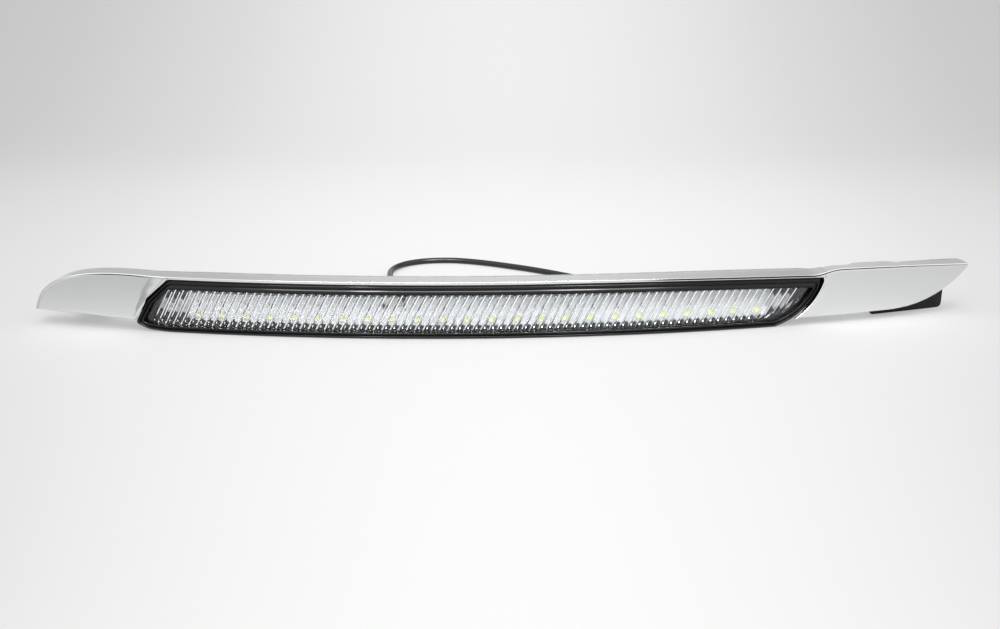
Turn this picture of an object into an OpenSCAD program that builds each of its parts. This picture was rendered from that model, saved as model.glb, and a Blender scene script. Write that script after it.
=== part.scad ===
// Daytime running light for the front of a car: a bowed lamp with a fluted clear lens in a bright plated trim.
// Millimetres. X runs along the light, -Y faces forward, +Z is up.
// The light stands on its lamp's lower edge. The origin is on that plane, under the middle of the length.
// Depths are measured inwards from the front face of the bow, which is an arc seen from above.

/* [Bow] */
// Radius of the front face, seen from above
bow_r = 705; // [500:5:1200]
// Place of the foremost point along the length
apex_x = -35; // [-60:1:0]
// Distance from the foremost point back to the origin
face_back = 10; // [8:0.5:13]

/* [Lamp] */
// Left end of the lamp
lamp_left = -162.6; // [-180:0.1:-155]
// Right end of the lamp, at its curved side
lamp_right = 137.4; // [128:0.1:150]
// Height of the black lens frame
lamp_h = 24.1; // [20:0.1:30]
// Radius of the lamp's curved right end
end_r = 29; // [26:0.5:34]
// Radius in which the right half of the top edge falls away
fall_r = 2600; // [1500:50:6000]
// Wall of the lamp housing
wall = 1.8; // [1.2:0.1:2.4]
// Depth at which the lamp housing starts, behind the lens frame
housing_d = 6; // [6:0.1:7]
// Depth of the lamp housing's back
housing_back = 14; // [13.6:0.1:18]

/* [Lens] */
// Thickness of the lens
lens_t = 2.5; // [2.2:0.1:2.8]
// Distance between flutes along the bow
flute_pitch = 3.5; // [3:0.1:5]
// Height of a flute over the lens's back
flute_h = 0.8; // [0.5:0.05:0.95]
// Flat land left between two flutes
flute_land = 0.3; // [0.2:0.05:0.9]
// Lean of the flutes from upright, in degrees
flute_lean = 28; // [15:1:35]
// Height of the frame's upper bar
bar_top = 5.2; // [4:0.1:7]
// Height of the frame's lower bar
bar_low = 2.4; // [1.8:0.1:3.2]
// Thickness of the seal behind the lens
seal_t = 0.5; // [0.3:0.05:0.5]

/* [Trim] */
// Height that the trim's front edge covers above the lamp
lip_t = 1.1; // [0.8:0.1:2]
// Depth of the trim's top
shelf_depth = 9.5; // [8:0.1:12]
// Length of the left wing beyond the lamp
wing_left = 46.5; // [44:0.5:60]
// Length of the right wing beyond the lamp
wing_right = 70.5; // [68:0.5:90]
// Radius of the blade's swept lower edge
sweep_r = 50; // [42:0.5:60]
// Thickness of the trim's skins
skin_t = 1.8; // [1.2:0.1:2.2]
// Gap between trim and lamp
fit_gap = 0.2; // [0.1:0.05:0.4]

/* [Light board] */
// Distance between two light-emitting diodes
led_pitch = 10.6; // [9:0.1:10.8]
// Height of the board
board_h = 12; // [9:0.1:12.5]
// Thickness of the board
board_t = 1; // [0.8:0.1:1.6]
// Thickness of the aluminium strip under the board
strip_t = 1.2; // [0.8:0.1:1.5]
// Radius of the screws' shanks
screw_r = 1.2; // [1:0.05:1.4]

/* [Brackets and cable] */
// Radius of the fixing hole in each bracket
fix_r = 2.2; // [1.6:0.1:3]
// Thickness of the brackets
bracket_t = 2.2; // [1.6:0.1:3]
// Depth to which the brackets' feet reach
foot_d = 24; // [21:0.5:30]
// Distance between the left bracket's screws
left_screws = 6.4; // [6.2:0.1:9]
// Start of the right bracket beyond the lamp
right_from = 25; // [24:0.5:28]
// Length of the right bracket
right_length = 37; // [34:0.5:40]
// Height of the right bracket
right_height = 16.5; // [15:0.5:19]
// Diameter of the cable
cable_d = 3; // [2.5:0.1:3.5]
// Mean radius of the stored coil of cable
coil_r = 16.5; // [16.5:0.5:18]

/* [Hidden] */
LED_COUNT = 24;
led_names = [for (i = [1:LED_COUNT]) str("led_", i < 10 ? "0" : "", i)];
$fn = 48;
eps = 0.01;

// Plan: the bow and its local frames
span_over = 12;
deepest = housing_back + 26;
above = lamp_h + 16;
span_a = asin((lamp_right + wing_right - apex_x + span_over) / bow_r);
centre_y = bow_r - face_back;
front_y = -face_back - 2;
back_y = centre_y - (bow_r - deepest) * cos(span_a);
function arc_angle(x, d = 0) = asin((x - apex_x) / (bow_r - d));

// A block of the bow between two depths and two heights
module sector(d0, d1, z0 = -1, z1 = above) {
    translate([apex_x, centre_y, 0])
        rotate([0, 0, -90 - span_a])
            rotate_extrude(angle = 2 * span_a, $fn = 1440)
                polygon([[bow_r - d1, z0], [bow_r - d0, z0], [bow_r - d0, z1], [bow_r - d1, z1]]);
}

// A front view drawn in x and z, carried straight back through the part
module front_view() {
    translate([0, back_y, 0])
        rotate([90, 0, 0])
            linear_extrude(back_y - front_y)
                children();
}

// A front view given the bow's curve between two depths
module bent(d0, d1) {
    intersection() {
        sector(d0, d1);
        front_view() children();
    }
}

// A place on the bow: local X runs along it, local Y inwards, local Z up
module on_bow(x, d, z) {
    translate([apex_x, centre_y, 0])
        rotate([0, 0, arc_angle(x)])
            translate([0, d - bow_r, z])
                children();
}

// A round bar along the local depth axis
module inward(r, h, fn = 32) {
    rotate([-90, 0, 0]) cylinder(r = r, h = h, $fn = fn);
}

// Outlines are lists of [x, z, corner radius], counterclockwise
function unit(v) = v / norm(v);
function cross2(a, b) = a[0] * b[1] - a[1] * b[0];
function flat2(p) = [p[0], p[1]];

// One rounded corner as points on its arc
function corner(p, a, b, r, n) =
    let (u = unit(a - p), v = unit(b - p), half = acos(u * v) / 2,
         c = p + unit(u + v) * r / sin(half),
         s = p + u * r / tan(half) - c, e = p + v * r / tan(half) - c,
         a0 = atan2(s[1], s[0]), turn = atan2(cross2(s, e), s * e))
    [for (k = [0:n]) c + r * [cos(a0 + turn * k / n), sin(a0 + turn * k / n)]];

function rounded(pts, n = 5) =
    let (m = len(pts))
    [for (i = [0:m - 1])
        let (p = flat2(pts[i]), a = flat2(pts[(i + m - 1) % m]), b = flat2(pts[(i + 1) % m]))
        each (pts[i][2] > 0 ? corner(p, a, b, pts[i][2], n) : [p])];

// The outline moved inwards by s, with its corner radii shortened to suit
function shrunk(pts, s) =
    let (m = len(pts))
    [for (i = [0:m - 1])
        let (p = flat2(pts[i]), a = flat2(pts[(i + m - 1) % m]), b = flat2(pts[(i + 1) % m]),
             u = unit(p - a), v = unit(b - p), nu = [-u[1], u[0]], nv = [-v[1], v[0]],
             q = p + (nu + nv) * s / (1 + nu * nv))
        [q[0], q[1], pts[i][2] > 0 ? max(pts[i][2] - s, 0.3) : 0]];

// Lamp outline
fall_x = 35;
end_cx = lamp_right - end_r;
end_dip = 0.9;
end_cz = end_r - end_dip;
function fall(x) = x < fall_x ? 0 : pow(x - fall_x, 2) / (2 * fall_r);
function lamp_top(x) = lamp_h - fall(x);
function end_x(z) = end_cx + sqrt(end_r * end_r - pow(z - end_cz, 2));
end_top = lamp_top(lamp_right);
corner_x = end_x(end_top) - 0.2;
fall_steps = 5;
fall_xs = [for (k = [0:fall_steps]) fall_x + (corner_x - fall_x) * k / fall_steps];
lamp_pts = concat(
    [[lamp_left - 0.8, lamp_h * 0.14, 2.2], [lamp_left + 5, 0.8, 8], [lamp_left + 14, 0, 20]],
    [for (f = [0, 0.035, 0.08, 0.135, 0.2, 0.29, 0.4, 0.53, 0.66, 0.78]) [end_x(f * end_top), f * end_top, 0]],
    [for (k = [fall_steps:-1:0]) [fall_xs[k], lamp_top(fall_xs[k]), k == fall_steps ? 2.4 : 0]],
    [[lamp_left + 16.4, lamp_h, 3], [lamp_left + 6.3, lamp_h * 0.62, 0], [lamp_left + 5.3, lamp_h * 0.58, 0]]);

module lamp_outline(s = 0) {
    polygon(rounded(s == 0 ? lamp_pts : shrunk(lamp_pts, s)));
}

// Everything lower than the lamp's top edge less a drop
module below_top(drop) {
    xs = concat([lamp_left - 5], fall_xs, [lamp_right + 15]);
    polygon(concat([[lamp_right + 15, -1], [lamp_left - 5, -1]], [for (x = xs) [x, lamp_top(x) - drop]]));
}

// Depths, front to back
frame_d = 1;
bead_d = 0.8;
frame_t = housing_d - seal_t - lens_t - frame_d;
lens_d = housing_d - seal_t - lens_t;
skirt_t = 1.2;
back_d = housing_back - wall;
strip_d = back_d - 2;
board_d = strip_d - strip_t;
led_front = board_d - board_t;
side_bar = 2.8;

module window_outline(s = 0) {
    intersection() {
        lamp_outline(side_bar + s);
        below_top(bar_top + s);
    }
}

// Gloss black frame in front of the lens, with two stepped beads and a skirt round the lens
module lens_frame() {
    color([0.03, 0.03, 0.035]) {
        difference() {
            union() {
                bent(frame_d + bead_d, lens_d) lamp_outline();
                bent(frame_d, frame_d + bead_d + eps) lamp_outline(0.5);
                bent(lens_d - eps, housing_d) lamp_outline();
            }
            bent(lens_d, housing_d + 1) lamp_outline(skirt_t);
            bent(frame_d - 1, lens_d + 1) window_outline();
            bent(frame_d - 1, frame_d + bead_d) difference() {
                lamp_outline(1.9);
                window_outline(-1.2);
            }
        }
    }
}

// Clear lens: a bent plate, smooth in front, with a row of slanted round flutes raised on its back
seal_edge = skirt_t + 1.4;
function flute_half() = (flute_pitch * cos(flute_lean) - flute_land) / 2;
flute_r = (pow(flute_half(), 2) + pow(flute_h, 2)) / (2 * flute_h);
flute_side = flute_half() + 0.15;
flute_z0 = seal_edge + flute_side * sin(flute_lean);
flute_z1 = lamp_h - bar_top - flute_side * sin(flute_lean);
flute_zm = (flute_z0 + flute_z1) / 2;
function flute_x(x, z, lean) = x + (z - flute_zm) * tan(lean);
flute_room = 0.7;
function end_slope(z) = end_r / (end_x(z) - lamp_right + end_r);
function in_window(x, z) = x < end_x(z) - (seal_edge + flute_side + flute_room) * end_slope(z)
    && x > lamp_left + 5.8 + flute_room + (z - 4) * 0.62 && z < lamp_top(x) - bar_top - 0.1
    && z > flute_z0 + (lamp_left + 14 - x) * 0.2;
function lean_at(x) = flute_lean + 10 * pow(max(0, (x - lamp_right + 42) / 42), 2);
flute_step_a = flute_pitch / bow_r * 180 / PI;
flute_from = ceil(arc_angle(lamp_left) / flute_step_a);
flute_to = floor(arc_angle(lamp_right) / flute_step_a);

// One flute: a segment of a circle drawn along the slanted line, rooted in the plate
root = 0.3;
module flute(i) {
    x = apex_x + (bow_r - lens_d - lens_t) * sin(i * flute_step_a);
    lean = lean_at(x);
    zs = [for (z = [flute_z0 : 0.4 : flute_z1]) if (in_window(flute_x(x, z, lean), z)) z];
    if (len(zs) > 6) {
        translate([apex_x, centre_y, 0])
            rotate([0, 0, i * flute_step_a])
                translate([0, lens_d + lens_t - bow_r, flute_zm])
                    rotate([0, lean, 0])
                        translate([0, 0, (zs[0] - flute_zm) / cos(lean)])
                            linear_extrude((zs[len(zs) - 1] - zs[0]) / cos(lean))
                                intersection() {
                                    translate([0, flute_h - flute_r]) circle(r = flute_r, $fn = 64);
                                    translate([-flute_half(), -root]) square([2 * flute_half(), flute_h + 1]);
                                }
    }
}

module lens() {
    color([0.86, 0.9, 0.92, 0.45]) {
        bent(lens_d, lens_d + lens_t) lamp_outline(skirt_t + 0.15);
        for (i = [flute_from : flute_to]) flute(i);
    }
}

// Rubber seal between lens and housing
module lens_seal() {
    color([0.12, 0.12, 0.12])
        bent(lens_d + lens_t, housing_d) difference() {
            lamp_outline(skirt_t + 0.15);
            lamp_outline(seal_edge);
        }
}

// Black housing: an open tray with screw posts, a rim for the seal and an ear behind each wing
tape_t = 0.9;
ear_d = 7;
ear_t = 2;
ear_edge = 3.6;
ear_left = [[lamp_left - 6.9, lamp_h * 0.5], [lamp_left - 1.4, lamp_h * 0.79]];
ear_right = [[lamp_right + 5.1, lamp_h * 0.415], [lamp_right + 9.4, lamp_h * 0.75]];
post_x = [lamp_left + 14.6, lamp_right - 18.9];
post_z = lamp_h * 0.43;
post_r = 2.9;
pilot_gap = 0.05;
seat_gap = 0.01;
wire_x = -47;
lead_r = 0.6;
board_z0 = lamp_h * 0.19;
wire_z = board_z0 + board_h + 0.7 + lead_r;
gland_r = 2.4;

// An ear: a plate from inside the lamp out round its two screws
module ear_outline(screws, side, root_x) {
    low = screws[0][1] - ear_edge;
    high = screws[1][1] + ear_edge - 0.4;
    far = [for (p = screws) p[0] + side * (ear_edge + 0.3)];
    slant = 0.26 * (high - low);
    pts = [[root_x - slant, low, 0], [far[0], low, 2], [far[1], high, 2], [root_x + slant, high, 0]];
    polygon(rounded(side > 0 ? pts : [for (k = [3:-1:0]) pts[k]]));
}

module housing_outline(s = 0) {
    intersection() {
        lamp_outline(s);
        below_top(tape_t + s);
    }
}

module lamp_housing() {
    color([0.07, 0.07, 0.075]) {
        difference() {
            union() {
                bent(housing_d, housing_back) housing_outline();
                bent(ear_d, ear_d + ear_t) {
                    ear_outline(ear_left, -1, lamp_left + 11.5);
                    ear_outline(ear_right, 1, lamp_right - 10);
                }
            }
            bent(housing_d - 1, back_d) housing_outline(wall);
            for (p = concat(ear_left, ear_right))
                on_bow(p[0], ear_d - 1, p[1]) inward(screw_r + 0.2, ear_t + 2);
            on_bow(wire_x, back_d - 1, wire_z) inward(gland_r + 0.05, wall + 2);
        }
        for (x = post_x) on_bow(x, strip_d + seat_gap, post_z) difference() {
            inward(post_r, back_d - strip_d + 0.3);
            translate([0, -1, 0]) inward(screw_r + pilot_gap, back_d - strip_d + 1.2);
        }
    }
}

// Aluminium strip that carries the board, with a screw tab at each end
strip_over = 1;
led_mid_x = -14.4;
led_z = lamp_h * 0.32;
board_left = led_mid_x - (LED_COUNT - 1) / 2 * led_pitch - 2.6;
board_right = led_mid_x + (LED_COUNT - 1) / 2 * led_pitch + 4;

module heat_strip() {
    color([0.8, 0.81, 0.82]) {
        difference() {
            bent(board_d, strip_d) {
                translate([board_left - strip_over, board_z0 - 0.5])
                    square([board_right - board_left + 2 * strip_over, board_h + 1]);
                polygon(rounded([[post_x[0] - 4, post_z - 3, 1.4], [post_x[1] + 4, post_z - 3, 1.4],
                                 [post_x[1] + 4, post_z + 3, 1.4], [post_x[0] - 4, post_z + 3, 1.4]]));
            }
            for (x = post_x) on_bow(x, board_d - 1, post_z) inward(screw_r + 0.2, strip_t + 2);
        }
    }
}

// White circuit board, one long strip bent to the bow
module light_board() {
    color([0.93, 0.94, 0.96])
        bent(led_front, board_d)
            translate([board_left, board_z0]) square([board_right - board_left, board_h]);
}

// Light-emitting diode: a white cup with its emitting face sunk in
led_w = 3.5;
led_h = 2.8;
led_t = 0.8;
function led_angle(i) = arc_angle(led_mid_x, led_front) + (i - (LED_COUNT - 1) / 2) * led_step_a;
led_step_a = led_pitch / (bow_r - led_front) * 180 / PI;

module on_board(a, z) {
    translate([apex_x, centre_y, z])
        rotate([0, 0, a])
            translate([0, led_front - bow_r, 0])
                children();
}

module led(i) {
    color([0.97, 0.96, 0.85])
        on_board(led_angle(i), led_z) difference() {
            translate([-led_w / 2, -led_t, -led_h / 2]) cube([led_w, led_t, led_h]);
            translate([0, -led_t - eps, 0])
                rotate([-90, 0, 0]) cylinder(r1 = 1.15, r2 = 0.95, h = 0.3, $fn = 32);
        }
}

// Chip resistors, one over each diode
resistor_z = board_z0 + board_h * 0.62;
module resistors() {
    color([0.25, 0.2, 0.17])
        for (i = [0:LED_COUNT - 1])
            on_board(led_angle(i) + 0.12, resistor_z)
                translate([-0.65, -0.55, -1.1]) cube([1.3, 0.55, 2.2]);
}

// Diode that guards the board against a crossed supply
module reverse_diode() {
    color([0.1, 0.1, 0.11])
        on_board(arc_angle(wire_x - 6.5, led_front), board_z0 + board_h * 0.7)
            translate([-1.3, -1.1, -0.8]) cube([2.6, 1.1, 1.6]);
}

// Two leads come through the gland, over the board's top edge and down to their solder pads
lead_bend = 1.6;
lead_dx = [-1.1, 1.1];
lead_z = wire_z;
lead_d = led_front - lead_r - 0.1;
lead_end = [board_z0 + board_h * 0.83, board_z0 + board_h * 0.7];

module lead(k) {
    on_bow(wire_x + lead_dx[k], 0, 0) {
        translate([0, lead_d + lead_bend, lead_z]) inward(lead_r, back_d - lead_d - lead_bend);
        translate([0, lead_d + lead_bend, lead_z - lead_bend])
            rotate([0, 90, 0]) rotate([0, 0, 180])
                rotate_extrude(angle = 90, $fn = 48) translate([lead_bend, 0]) circle(r = lead_r, $fn = 24);
        translate([0, lead_d, lead_end[k]])
            cylinder(r = lead_r, h = lead_z - lead_bend - lead_end[k], $fn = 24);
    }
}

module wire_red() {
    color([0.62, 0.05, 0.06]) lead(0);
}

module wire_black() {
    color([0.05, 0.05, 0.05]) lead(1);
}

// Each joint is a wedge of solder on the board, under the end of its lead
module solder_joints() {
    color([0.75, 0.76, 0.77])
        for (k = [0, 1])
            on_bow(wire_x + lead_dx[k], led_front, lead_end[k])
                rotate([0, -90, 0]) linear_extrude(1.7, center = true)
                    polygon([[0, 0], [0, -1.5], [-0.7, -1.4], [-1.8, -0.4], [-1.8, 0]]);
}

// Screws and washers that hold the strip to the housing's posts
washer_t = 0.5;
head_h = 1.4;
module pan_screw(length) {
    translate([0, -head_h, 0]) difference() {
        union() {
            inward(1.9, head_h);
            inward(screw_r, head_h + length);
        }
        for (a = [0, 90]) rotate([0, a, 0]) translate([-1.1, -eps, -0.25]) cube([2.2, 0.7, 0.5]);
    }
}

module board_screws() {
    color([0.78, 0.78, 0.8])
        for (x = post_x) on_bow(x, board_d - washer_t, post_z) pan_screw(strip_t + washer_t + 2);
}

module board_washers() {
    color([0.7, 0.71, 0.72])
        for (x = post_x) on_bow(x, board_d - washer_t, post_z) difference() {
            inward(2.7, washer_t);
            translate([0, -1, 0]) inward(screw_r + 0.1, washer_t + 2);
        }
}

// Trim outlines
tip_x = lamp_left - wing_left;
end_trim_x = lamp_right + wing_right;
nose_z = lamp_h + 1.8;
function bez(p, t) = p[0] * (1 - t) * (1 - t) + p[1] * 2 * t * (1 - t) + p[2] * t * t;
leaf_low = lamp_h * 0.28;
leaf_round = wing_left * 0.88;
leaf_outer = [[tip_x, leaf_low + 0.3], [tip_x + 3, nose_z], [tip_x + leaf_round, nose_z]];
leaf_inner = [[tip_x + 1, leaf_low + 2.3], [tip_x + 3 + lip_t * 3.3, nose_z - lip_t],
              [tip_x + leaf_round, nose_z - lip_t]];
function right_top(x) = nose_z - 0.5 - pow(x - lamp_right + 15.4, 2) / 2200;
lower_z = 3.4;
corner_h = 2.2;
sweep_cz = lower_z + 0.5 + sweep_r;
sweep_a = asin((sweep_cz - right_top(end_trim_x) + corner_h) / sweep_r);
sweep_cx = end_trim_x - 0.4 - sweep_r * cos(sweep_a);
leaf_steps = 14;

// Left wing: a leaf with a round point. It runs on under the lamp, whose pocket cuts it off.
module left_wing(curve, low) {
    polygon(concat(
        [[lamp_left + 2, leaf_low - 1.7 + low], [lamp_left + 16, lamp_h - 2], [lamp_left + 16, curve[2][1]]],
        [for (k = [leaf_steps : -1 : 0]) bez(curve, k / leaf_steps)],
        [[tip_x + 1.2 + low, leaf_low - 0.1 + low], [tip_x + wing_left * 0.52, leaf_low - 0.6 + low],
         [tip_x + wing_left * 0.78, leaf_low - 1.3 + low]]));
}

// Right wing: a blade with its lower edge swept up to the corner
right_pts = concat(
    [[lamp_right - 19, lower_z, 0], [(lamp_right + sweep_cx) / 2, lower_z + 0.1, 0]],
    [for (k = [0:10]) let (a = -90 + (90 - sweep_a) * k / 10)
        [sweep_cx + sweep_r * cos(a), sweep_cz + sweep_r * sin(a), 0]],
    [[end_trim_x, right_top(end_trim_x), 1.2]],
    [for (k = [6:-1:0]) let (x = lamp_right + 1.5 + (wing_right - 9) * k / 6) [x, right_top(x), 0]],
    [[lamp_right - 6, lamp_h * 0.83, 0]]);

module right_wing(s = 0) {
    polygon(rounded(s == 0 ? right_pts : shrunk(right_pts, s)));
}

module shelf_outline() {
    xs = concat([lamp_left + 14], fall_xs, [lamp_right + 1]);
    polygon(concat(
        [for (x = xs) [x, lamp_top(x) - 2]],
        [for (k = [len(xs) - 1 : -1 : 0]) [xs[k], lamp_top(xs[k]) + fit_gap + lip_t]]));
}

module trim_outline() {
    difference() {
        union() {
            left_wing(leaf_outer, 0);
            shelf_outline();
            right_wing();
        }
        lamp_outline(-fit_gap);
    }
}

// Left wing's skin leans back towards its top
lean_back = 2.4;
skin_front = 0.6;
module leaning_sector(from, to) {
    translate([apex_x, centre_y, 0])
        rotate([0, 0, -90 - span_a])
            rotate_extrude(angle = 2 * span_a, $fn = 1440)
                polygon([[bow_r - max(leaf_d(-1) + from, -1), -1], [bow_r - max(leaf_d(above) + from, -1), above],
                         [bow_r - leaf_d(above) - to, above], [bow_r - leaf_d(-1) - to, -1]]);
}
function leaf_d(z) = skin_front + lean_back * (z - 4) / (nose_z - 3);

boss_r = 3;
left_mid = tip_x + wing_left * 0.475;
bracket_left = [for (side = [-1, 1]) [left_mid + side * left_screws / 2, lamp_h * 0.58]];
right_mid = lamp_right + right_from + right_length * 0.6;
bracket_right = [[lamp_right + right_from + 7, right_height - 5], [right_mid + 3, right_height - 2.5]];

module trim_bosses(grow, from) {
    for (p = concat(ear_left, bracket_left))
        on_bow(p[0], leaf_d(p[1]) + from, p[1]) inward(grow, ear_d - leaf_d(p[1]) - from);
    for (p = concat(ear_right, bracket_right))
        on_bow(p[0], skin_front + from, p[1]) inward(grow, ear_d - skin_front - from);
}

// Bright plated trim in one moulding: top shelf, leaf on the left, blade on the right.
// Each wing is a skin set back inside a rim; the rim is deep along the top and shallow along the bottom.
low_rim_d = 5;
lug_z = right_top(lamp_right + 22) - 2.4;
module chrome_trim() {
    color([0.86, 0.87, 0.88]) {
        difference() {
            union() {
                difference() {
                    bent(0, shelf_depth) trim_outline();
                    intersection() {
                        leaning_sector(-4, 0);
                        front_view() left_wing(leaf_inner, -2);
                    }
                    intersection() {
                        leaning_sector(skin_t, 20);
                        front_view() left_wing(leaf_inner, 1.3);
                    }
                    bent(-1, skin_front - 0.3) right_wing(lip_t);
                    bent(skin_front + skin_t, 20) right_wing(lip_t + 0.2);
                    bent(low_rim_d, 20) {
                        translate([0, -3]) left_wing(leaf_inner, 0);
                        translate([0, -3]) right_wing(lip_t);
                    }
                }
                bent(shelf_depth - 1, shelf_depth + 1.2)
                    translate([lamp_right + 11.5, lug_z]) square([21, 1.8]);
                bent(shelf_depth - 1, shelf_depth + 2.6)
                    translate([lamp_right + 14, lug_z]) square([16, 1.8]);
                trim_bosses(boss_r, skin_t / 2);
            }
            trim_bosses_pilot();
        }
    }
}

module trim_bosses_pilot() {
    for (p = concat(ear_left, bracket_left))
        on_bow(p[0], leaf_d(p[1]) + skin_t + 0.6, p[1]) inward(screw_r + pilot_gap, ear_d);
    for (p = concat(ear_right, bracket_right))
        on_bow(p[0], skin_front + skin_t + 0.6, p[1]) inward(screw_r + pilot_gap, ear_d);
}

// Foam tape between the housing's top and the shelf
module foam_tape() {
    color([0.2, 0.2, 0.2])
        bent(housing_d + 0.3, shelf_depth - 0.3) difference() {
            intersection() {
                translate([lamp_left + 20, 0]) square([lamp_right - lamp_left - 28, lamp_h + 5]);
                below_top(-fit_gap);
            }
            below_top(tape_t);
        }
}

module lamp_screws() {
    color([0.6, 0.6, 0.62])
        for (p = concat(ear_left, ear_right))
            on_bow(p[0], ear_d + ear_t + seat_gap, p[1]) mirror([0, 1, 0]) pan_screw(ear_t + 2.2);
}

// Black brackets behind the wings, each with a foot, two gussets and a fixing hole
gusset_t = 1.8;
plate_edge = 5.8;
hole_d = (ear_d + foot_d) / 2 + 3;
module bracket(plate_x, plate_z, foot_x, hole_x) {
    difference() {
        union() {
            bent(ear_d, ear_d + bracket_t)
                polygon(rounded([[plate_x[0], plate_z[0], 2], [plate_x[1], plate_z[0], 2],
                                 [plate_x[1], plate_z[1], 2], [plate_x[0], plate_z[1], 2]]));
            bent(ear_d + bracket_t - eps, foot_d)
                translate([foot_x[0], plate_z[0]]) square([foot_x[1] - foot_x[0], bracket_t]);
            for (x = [foot_x[0] + gusset_t / 2 + 0.3, foot_x[1] - gusset_t / 2 - 0.3])
                on_bow(x, ear_d + bracket_t - 0.2, plate_z[0] + bracket_t - 0.2)
                    rotate([0, -90, 0]) linear_extrude(gusset_t, center = true)
                        polygon([[0, 0], [0, (foot_d - ear_d) * 0.53], [(plate_z[1] - plate_z[0]) * 0.45, 0]]);
        }
        on_bow(hole_x, hole_d, plate_z[0] - 1) cylinder(r = fix_r, h = bracket_t + 2, $fn = 48);
    }
}

left_plate_x = [bracket_left[0][0] - plate_edge, bracket_left[1][0] + plate_edge];
left_plate_z = [bracket_left[0][1] - plate_edge, bracket_left[0][1] + plate_edge - 1.3];
module left_bracket() {
    color([0.06, 0.06, 0.065]) difference() {
        bracket(left_plate_x, left_plate_z, left_plate_x + [1.4, -1.4], left_mid);
        for (p = bracket_left) on_bow(p[0], ear_d - 1, p[1]) inward(screw_r + 0.2, bracket_t + 2);
    }
}

right_plate_x = [lamp_right + right_from, lamp_right + right_from + right_length];
module right_bracket() {
    color([0.06, 0.06, 0.065]) difference() {
        bracket(right_plate_x, [0, right_height], right_plate_x + [right_length * 0.24, -2], right_mid);
        for (p = bracket_right) on_bow(p[0], ear_d - 1, p[1]) inward(screw_r + 0.2, bracket_t + 2);
    }
}

module bracket_screws() {
    color([0.6, 0.6, 0.62])
        for (p = concat(bracket_left, bracket_right))
            on_bow(p[0], ear_d + bracket_t + seat_gap, p[1]) mirror([0, 1, 0]) pan_screw(bracket_t + 2.2);
}

// Rubber gland: a neck through the wall, a flange and a ribbed tapering nose
gland_flange = 1.2;
gland_nose = 12;
module cable_gland() {
    color([0.05, 0.05, 0.055])
        on_bow(wire_x, back_d, wire_z) rotate([-90, 0, 0]) {
            cylinder(r = gland_r, h = wall + 0.1);
            translate([0, 0, wall + 0.02]) cylinder(r = 3.8, h = gland_flange);
            translate([0, 0, wall + gland_flange]) cylinder(r1 = 2.9, r2 = cable_d / 2 + 0.5, h = gland_nose);
            for (k = [1:3])
                translate([0, 0, wall + gland_flange + k * 2.6]) cylinder(r = 3.1 - k * 0.15, h = 1);
        }
}

// Cable: out of the gland, down to the floor, round a wide loop and back behind the lamp to its coil
cable_exit_d = back_d + wall + gland_flange + gland_nose;
function cable_exit(out) =
    let (r = bow_r - cable_exit_d - out, a = arc_angle(wire_x))
    [apex_x + r * sin(a), centre_y - r * cos(a), wire_z];
cable_r = cable_d / 2;
floor_z = 1.56;
coil_c = [46, 42];
cable_route = [[-47.1, 22.5, 16.9], [-47.5, 27.5, 14.9], [-48.1, 32.5, 12], [-48.9, 37.5, 8.6], [-49.9, 42.5, 5.6],
               [-51.1, 48, 3.3], [-52.6, 54.5, 2], [-54.6, 62, floor_z], [-57, 70, floor_z], [-59.3, 78, floor_z],
               [-60.6, 86, floor_z], [-60.5, 94, floor_z], [-58, 101.5, floor_z], [-53, 107.6, floor_z], [-46, 111.6, floor_z],
               [-38, 113.4, floor_z], [-29.5, 113.4, floor_z], [-21, 111.4, floor_z], [-12, 108, floor_z], [-3, 103.6, floor_z],
               [6, 98.8, floor_z], [15, 93.4, floor_z], [24, 87.2, floor_z], [33, 80.5, floor_z], [42, 73.4, floor_z],
               [51, 66, floor_z]];
coil_w = 2 * cable_d;
coil_h = 2 * cable_d + 0.1;
arrive_a = 50;
arrive_r = coil_r + coil_w / 2 + cable_r + 0.1;
cable_end = [coil_c[0] + arrive_r * cos(arrive_a), coil_c[1] + arrive_r * sin(arrive_a), floor_z];

function catmull(p0, p1, p2, p3, t) =
    0.5 * ((2 * p1) + (p2 - p0) * t + (2 * p0 - 5 * p1 + 4 * p2 - p3) * t * t
           + (3 * p1 - p0 - 3 * p2 + p3) * t * t * t);
function smooth_path(pts, n) =
    let (m = len(pts))
    concat([for (i = [0 : m - 2], k = [0 : n - 1])
        catmull(pts[max(i - 1, 0)], pts[i], pts[i + 1], pts[min(i + 2, m - 1)], k / n)], [pts[m - 1]]);

// A round tube along a path: rings of eight points, each square to the path
module tube(path, r, sides = 8) {
    n = len(path);
    dirs = [for (i = [0 : n - 1]) unit(path[min(i + 1, n - 1)] - path[max(i - 1, 0)])];
    rings = [for (i = [0 : n - 1])
        let (side = unit(cross(dirs[i], [0, 0, 1])), up = cross(side, dirs[i]))
        for (k = [0 : sides - 1]) path[i] + r * (side * cos(360 * (k + 0.5) / sides)
                                              + up * sin(360 * (k + 0.5) / sides))];
    walls = [for (i = [0 : n - 2], k = [0 : sides - 1])
        each [[i * sides + k, i * sides + (k + 1) % sides, (i + 1) * sides + k],
              [i * sides + (k + 1) % sides, (i + 1) * sides + (k + 1) % sides, (i + 1) * sides + k]]];
    caps = concat([for (k = [1 : sides - 2]) [0, k + 1, k]],
                  [for (k = [1 : sides - 2]) [(n - 1) * sides, (n - 1) * sides + k, (n - 1) * sides + k + 1]]);
    polyhedron(points = rings, faces = concat(walls, caps));
}

module cable() {
    color([0.04, 0.04, 0.045])
        tube(concat([cable_exit(0.01)], smooth_path(concat([cable_exit(1.5)], cable_route, [cable_end]), 2)),
             cable_r);
}

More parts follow.
